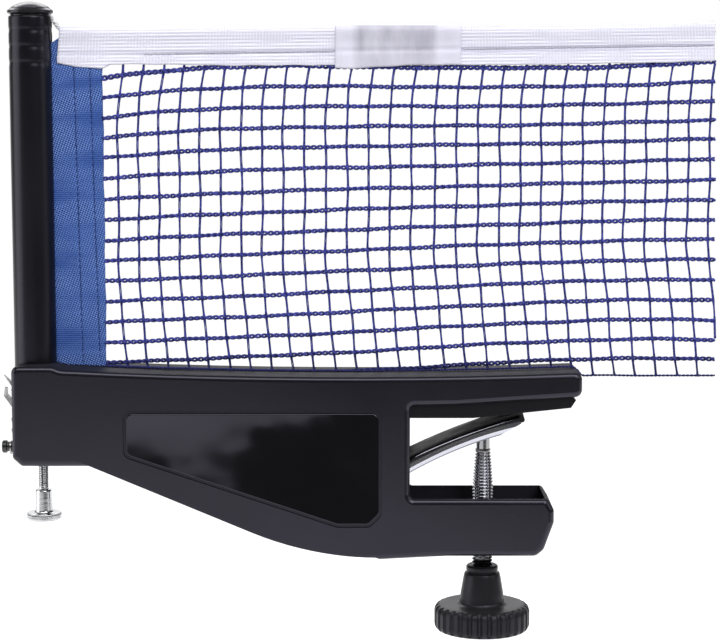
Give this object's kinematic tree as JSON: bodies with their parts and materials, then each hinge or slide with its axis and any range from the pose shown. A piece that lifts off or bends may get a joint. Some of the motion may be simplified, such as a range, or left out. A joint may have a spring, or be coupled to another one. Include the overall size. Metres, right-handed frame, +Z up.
{
  "type": "table tennis net clamp",
  "caption": "Screw clamp for a table tennis table with a folded steel bracket, chromed pressure lever, net post with height screw, and the net's end.",
  "frame": {"origin": "middle of the upper jaw's flat seat, in the plane that rests on the table top, in the plane of the net", "axes": "+X along the net, towards the table; +Y away from the front plate; +Z up, along the post"},
  "size_m": [0.2734, 0.0372, 0.243],
  "materials": {
    "bracket_enamel": "satin black powder coat",
    "decal_gloss": "glossy black domed plate, bare",
    "pad_plastic": "matt black moulding",
    "zinc_hidden": "bright zinc",
    "guide_plastic": "black moulding",
    "cleat_steel": "bright spring steel",
    "rivet_steel": "bright",
    "nut_black": "black oxide",
    "lever_chrome": "bright chrome plate",
    "lever_rubber": "matt black",
    "tip_steel": "bright plate",
    "screw_zinc": "bright zinc, faintly blue",
    "knob_plastic": "black moulding, soft sheen",
    "post_enamel": "satin black powder coat",
    "cap_plastic": "black moulding",
    "foot_plastic": "black moulding",
    "sleeve_fabric": "woven blue",
    "rod_plastic": "natural",
    "net_cordage": "knitted navy cord",
    "tape_fabric": "white woven band",
    "label_satin": "white satin, bare",
    "cord_white": "twisted white cord",
    "net_edge": "navy cord",
    "height_screw_zinc": "bright zinc, knurled rim",
    "washer_steel": "plain washer",
    "cord_screw_black": "black oxide"
  },
  "bodies": {
    "bracket": {"bracket_shell": "bracket_enamel", "front_decal": "decal_gloss", "upper_jaw_pad": "pad_plastic", "clamp_nut": "zinc_hidden", "lever_pivot_pin": "zinc_hidden", "post_guide_bush": "guide_plastic", "height_screw_nut": "zinc_hidden", "tension_cleat": "cleat_steel", "cleat_rivets": "rivet_steel", "cord_clamp_nut": "nut_black"},
    "lever": {"pressure_lever": "lever_chrome", "lever_pad": "lever_rubber"},
    "thrust_tip": {"screw_thrust_tip": "tip_steel"},
    "clamp_screw": {"clamp_screw": "screw_zinc", "clamp_knob": "knob_plastic"},
    "post": {"post_tube": "post_enamel", "post_cap": "cap_plastic", "post_foot": "foot_plastic", "net_sleeve": "sleeve_fabric", "sleeve_rod": "rod_plastic", "net_mesh": "net_cordage", "top_tape": "tape_fabric", "tape_label": "label_satin", "net_cord": "cord_white", "bottom_cord": "net_edge"},
    "height_screw": {"height_screw": "height_screw_zinc"},
    "cord_washer": {"cord_clamp_washer": "washer_steel"},
    "cord_screw": {"cord_clamp_screw": "cord_screw_black"}
  },
  "joints": [
    {"name": "screw_travel", "type": "slide", "parent": "bracket", "child": "thrust_tip", "axis": [0, 0, -1], "range_m": [0, 0.024]},
    {"name": "knob_turn", "type": "hinge", "parent": "thrust_tip", "child": "clamp_screw", "pos_m": [0.0166, 0, -0.08], "axis": [0, 0, -1], "range_deg": [0, 6912]},
    {"name": "lever_swing", "type": "hinge", "parent": "bracket", "child": "lever", "pos_m": [-0.0269, 0, -0.0296], "axis": [0, 1, 0], "range_deg": [0, 30]},
    {"name": "post_lift", "type": "slide", "parent": "bracket", "child": "post", "axis": [0, 0, 1], "range_m": [0, 0.0098]},
    {"name": "height_screw_turn", "type": "hinge", "parent": "post", "child": "height_screw", "pos_m": [-0.1542, 0, -0.04], "axis": [0, 0, 1], "range_deg": [0, 5040]},
    {"name": "cord_screw_travel", "type": "slide", "parent": "bracket", "child": "cord_washer", "axis": [-1, 0, 0], "range_m": [0, 0.002]},
    {"name": "cord_screw_turn", "type": "hinge", "parent": "cord_washer", "child": "cord_screw", "pos_m": [-0.1685, 0, -0.0132], "axis": [-1, 0, 0], "range_deg": [0, 1440]}
  ],
  "couplings": [
    {"joint": "knob_turn", "follows": "screw_travel", "rad_per_m": 5026.5},
    {"joint": "lever_swing", "follows": "screw_travel", "rad_per_m": 21.5},
    {"joint": "height_screw_turn", "follows": "post_lift", "rad_per_m": 8976},
    {"joint": "cord_screw_turn", "follows": "cord_screw_travel", "rad_per_m": 12566}
  ]
}
